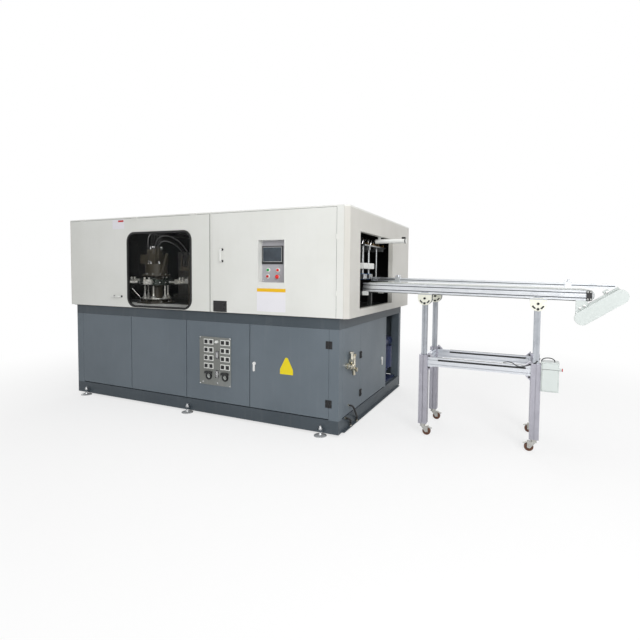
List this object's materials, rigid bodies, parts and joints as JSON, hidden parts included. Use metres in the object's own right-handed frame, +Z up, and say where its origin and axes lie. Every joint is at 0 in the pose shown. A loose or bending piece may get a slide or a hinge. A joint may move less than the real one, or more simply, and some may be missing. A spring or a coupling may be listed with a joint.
{
  "type": "blow moulding machine",
  "caption": "Enclosed stretch blow moulding machine on a steel base, with a lift-up window hatch, control door, cabinet doors and a sloping outfeed belt on a castered stand.",
  "frame": {"origin": "on the floor under the middle of the whole machine", "axes": "+X along the front from the preform end to the outfeed conveyor, +Y from the front to the back, +Z up"},
  "size_m": [5.8, 2.2726, 2.1],
  "materials": {
    "casing_paint": "semi-gloss powder coat",
    "end_paint": "semi-gloss powder coat",
    "base_paint": "semi-gloss powder coat",
    "plinth_paint": "semi-gloss powder coat",
    "frame_paint": "satin paint",
    "table_paint": "satin paint",
    "plate_grey": "satin paint",
    "black_metal": "satin paint",
    "column_metal": "oiled, worn",
    "machine_steel": "ground",
    "bright_steel": "ground",
    "zinc": "zinc plated",
    "turret_metal": "machined",
    "oven_metal": "polished",
    "anodised": "clear anodised",
    "control_metal": "brushed",
    "filter_blue": "gloss paint",
    "motor_paint": "satin paint",
    "box_paint": "semi-gloss powder coat",
    "brass": "cast and turned",
    "hose_rubber": "matte",
    "seal_rubber": "matte",
    "belt_rubber": "matte",
    "pane": "clear",
    "black_plastic": "matte",
    "white_plastic": "gloss",
    "screen_plastic": "gloss",
    "button_green": "gloss",
    "button_red": "gloss",
    "button_dark_red": "gloss",
    "fork_metal": "zinc plated",
    "wheel_brown": "matte"
  },
  "bodies": {
    "machine": {"levelling_feet": "zinc", "base_plinth": "plinth_paint", "base_posts": "base_paint", "base_top_rail": "plinth_paint", "base_panels": "base_paint", "socket_plate": "plate_grey", "pipe_fittings": "brass", "hoses": "hose_rubber", "machine_table": "table_paint", "casing_frame": "frame_paint", "casing_panels": "casing_paint", "end_panels": "end_paint", "hinge_fixed_halves": "black_metal", "turret_column": "column_metal", "clamp_frame": "machine_steel", "oven": "oven_metal", "electrical_plate": "plate_grey", "filter_unit": "filter_blue", "conveyor_frame": "anodised", "conveyor_belt": "belt_rubber", "guide_rail": "anodised", "leg_tubes": "anodised", "stand_frame": "anodised", "drive_guard": "anodised", "gear_motor": "motor_paint", "control_box": "box_paint", "light_bar": "white_plastic"},
    "hatch": {"hatch": "casing_paint", "hatch_window": "pane", "window_seal": "seal_rubber", "hatch_handle": "black_plastic"},
    "strut_tubes": {"strut_tubes": "black_metal"},
    "strut_rods": {"strut_rods": "zinc"},
    "control_door": {"control_door": "casing_paint", "door_handle": "black_plastic", "control_housing": "control_metal", "touch_screen": "screen_plastic"},
    "start_button": {"start_button": "button_green"},
    "stop_button": {"stop_button": "button_red"},
    "reset_button": {"reset_button": "button_dark_red"},
    "emergency_stop": {"emergency_stop": "button_red"},
    "base_front_door": {"base_front_door": "base_paint"},
    "front_door_latch": {"front_door_latch": "white_plastic"},
    "base_end_door": {"base_end_door": "base_paint"},
    "end_door_latch": {"end_door_latch": "white_plastic"},
    "turret": {"turret": "turret_metal"},
    "front_platen": {"front_platen": "bright_steel"},
    "rear_platen": {"rear_platen": "bright_steel"},
    "bottom_mould": {"bottom_mould": "bright_steel"},
    "stretch_carriage": {"stretch_carriage": "bright_steel"},
    "drive_pulley": {"drive_pulley": "machine_steel"},
    "tail_pulley": {"tail_pulley": "machine_steel"},
    "caster_fork_1": {"caster_fork_1": "fork_metal"},
    "caster_wheel_1": {"caster_wheel_1": "wheel_brown"},
    "caster_fork_2": {"caster_fork_2": "fork_metal"},
    "caster_wheel_2": {"caster_wheel_2": "wheel_brown"},
    "caster_fork_3": {"caster_fork_3": "fork_metal"},
    "caster_wheel_3": {"caster_wheel_3": "wheel_brown"},
    "caster_fork_4": {"caster_fork_4": "fork_metal"},
    "caster_wheel_4": {"caster_wheel_4": "wheel_brown"}
  },
  "joints": [
    {"name": "hatch_lift", "type": "hinge", "parent": "machine", "child": "hatch", "pos_m": [-1.8085, -1.0922, 2.089], "axis": [-1, 0, 0], "range_deg": [0, 80]},
    {"name": "strut_turn", "type": "hinge", "parent": "machine", "child": "strut_tubes", "pos_m": [-1.8085, -0.7865, 2.025], "axis": [-1, 0, 0], "range_deg": [0, 15.6]},
    {"name": "strut_slide", "type": "slide", "parent": "strut_tubes", "child": "strut_rods", "axis": [0, -0.9592, -0.2826], "range_m": [0, 0.168]},
    {"name": "control_door_swing", "type": "hinge", "parent": "machine", "child": "control_door", "pos_m": [0.6375, -1.0925, 1.589], "axis": [0, 0, 1], "range_deg": [0, 100]},
    {"name": "start_button_press", "type": "slide", "parent": "control_door", "child": "start_button", "axis": [0, 1, 0], "range_m": [0, 0.005], "stiffness_N_per_m": 400},
    {"name": "stop_button_press", "type": "slide", "parent": "control_door", "child": "stop_button", "axis": [0, 1, 0], "range_m": [0, 0.005], "stiffness_N_per_m": 400},
    {"name": "reset_button_press", "type": "slide", "parent": "control_door", "child": "reset_button", "axis": [0, 1, 0], "range_m": [0, 0.005], "stiffness_N_per_m": 400},
    {"name": "emergency_stop_press", "type": "slide", "parent": "control_door", "child": "emergency_stop", "axis": [0, 1, 0], "range_m": [0, 0.006], "stiffness_N_per_m": 600},
    {"name": "base_front_door_swing", "type": "hinge", "parent": "machine", "child": "base_front_door", "pos_m": [0.5585, -1.0575, 0.57], "axis": [0, 0, 1], "range_deg": [0, 110]},
    {"name": "front_latch_turn", "type": "hinge", "parent": "base_front_door", "child": "front_door_latch", "pos_m": [-0.246, -1.0515, 0.6], "axis": [0, 1, 0], "range_deg": [0, 90]},
    {"name": "base_end_door_swing", "type": "hinge", "parent": "machine", "child": "base_end_door", "pos_m": [0.666, -0.485, 0.57], "axis": [0, 0, -1], "range_deg": [0, 50]},
    {"name": "end_latch_turn", "type": "hinge", "parent": "base_end_door", "child": "end_door_latch", "pos_m": [0.66, 0.2295, 0.515], "axis": [1, 0, 0], "range_deg": [0, 90]},
    {"name": "turret_turn", "type": "hinge", "parent": "machine", "child": "turret", "pos_m": [-2.03, -0.5465, 1.4], "axis": [0, 0, 1], "continuous": true},
    {"name": "front_platen_close", "type": "slide", "parent": "machine", "child": "front_platen", "axis": [0, 1, 0], "range_m": [0, 0.0597]},
    {"name": "rear_platen_close", "type": "slide", "parent": "machine", "child": "rear_platen", "axis": [0, -1, 0], "range_m": [0, 0.0597]},
    {"name": "bottom_mould_lift", "type": "slide", "parent": "machine", "child": "bottom_mould", "axis": [0, 0, 1], "range_m": [0, 0.034]},
    {"name": "stretch_stroke", "type": "slide", "parent": "machine", "child": "stretch_carriage", "axis": [0, 0, -1], "range_m": [0, 0.149]},
    {"name": "drive_pulley_turn", "type": "hinge", "parent": "machine", "child": "drive_pulley", "pos_m": [2.6334, -0.3565, 1.334], "axis": [0, 1, 0], "continuous": true},
    {"name": "tail_pulley_turn", "type": "hinge", "parent": "machine", "child": "tail_pulley", "pos_m": [0.7806, -0.3565, 1.3641], "axis": [0, 1, 0], "continuous": true},
    {"name": "caster_swivel_1", "type": "hinge", "parent": "machine", "child": "caster_fork_1", "pos_m": [1.33, -0.6065, 0.09], "axis": [0, 0, 1], "continuous": true},
    {"name": "caster_roll_1", "type": "hinge", "parent": "caster_fork_1", "child": "caster_wheel_1", "pos_m": [1.366, -0.6065, 0.0375], "axis": [0, 1, 0], "continuous": true},
    {"name": "caster_swivel_2", "type": "hinge", "parent": "machine", "child": "caster_fork_2", "pos_m": [1.33, -0.1065, 0.09], "axis": [0, 0, 1], "continuous": true},
    {"name": "caster_roll_2", "type": "hinge", "parent": "caster_fork_2", "child": "caster_wheel_2", "pos_m": [1.366, -0.1065, 0.0375], "axis": [0, 1, 0], "continuous": true},
    {"name": "caster_swivel_3", "type": "hinge", "parent": "machine", "child": "caster_fork_3", "pos_m": [2.27, -0.6065, 0.09], "axis": [0, 0, 1], "continuous": true},
    {"name": "caster_roll_3", "type": "hinge", "parent": "caster_fork_3", "child": "caster_wheel_3", "pos_m": [2.234, -0.6065, 0.0375], "axis": [0, 1, 0], "continuous": true},
    {"name": "caster_swivel_4", "type": "hinge", "parent": "machine", "child": "caster_fork_4", "pos_m": [2.27, -0.1065, 0.09], "axis": [0, 0, 1], "continuous": true},
    {"name": "caster_roll_4", "type": "hinge", "parent": "caster_fork_4", "child": "caster_wheel_4", "pos_m": [2.234, -0.1065, 0.0375], "axis": [0, 1, 0], "continuous": true}
  ],
  "couplings": [
    {"joint": "strut_turn", "follows": "hatch_lift", "ratio": 0.1931},
    {"joint": "strut_slide", "follows": "hatch_lift", "m_per_rad": 0.1191},
    {"joint": "rear_platen_close", "follows": "front_platen_close", "ratio": 1},
    {"joint": "tail_pulley_turn", "follows": "drive_pulley_turn", "ratio": 1}
  ]
}
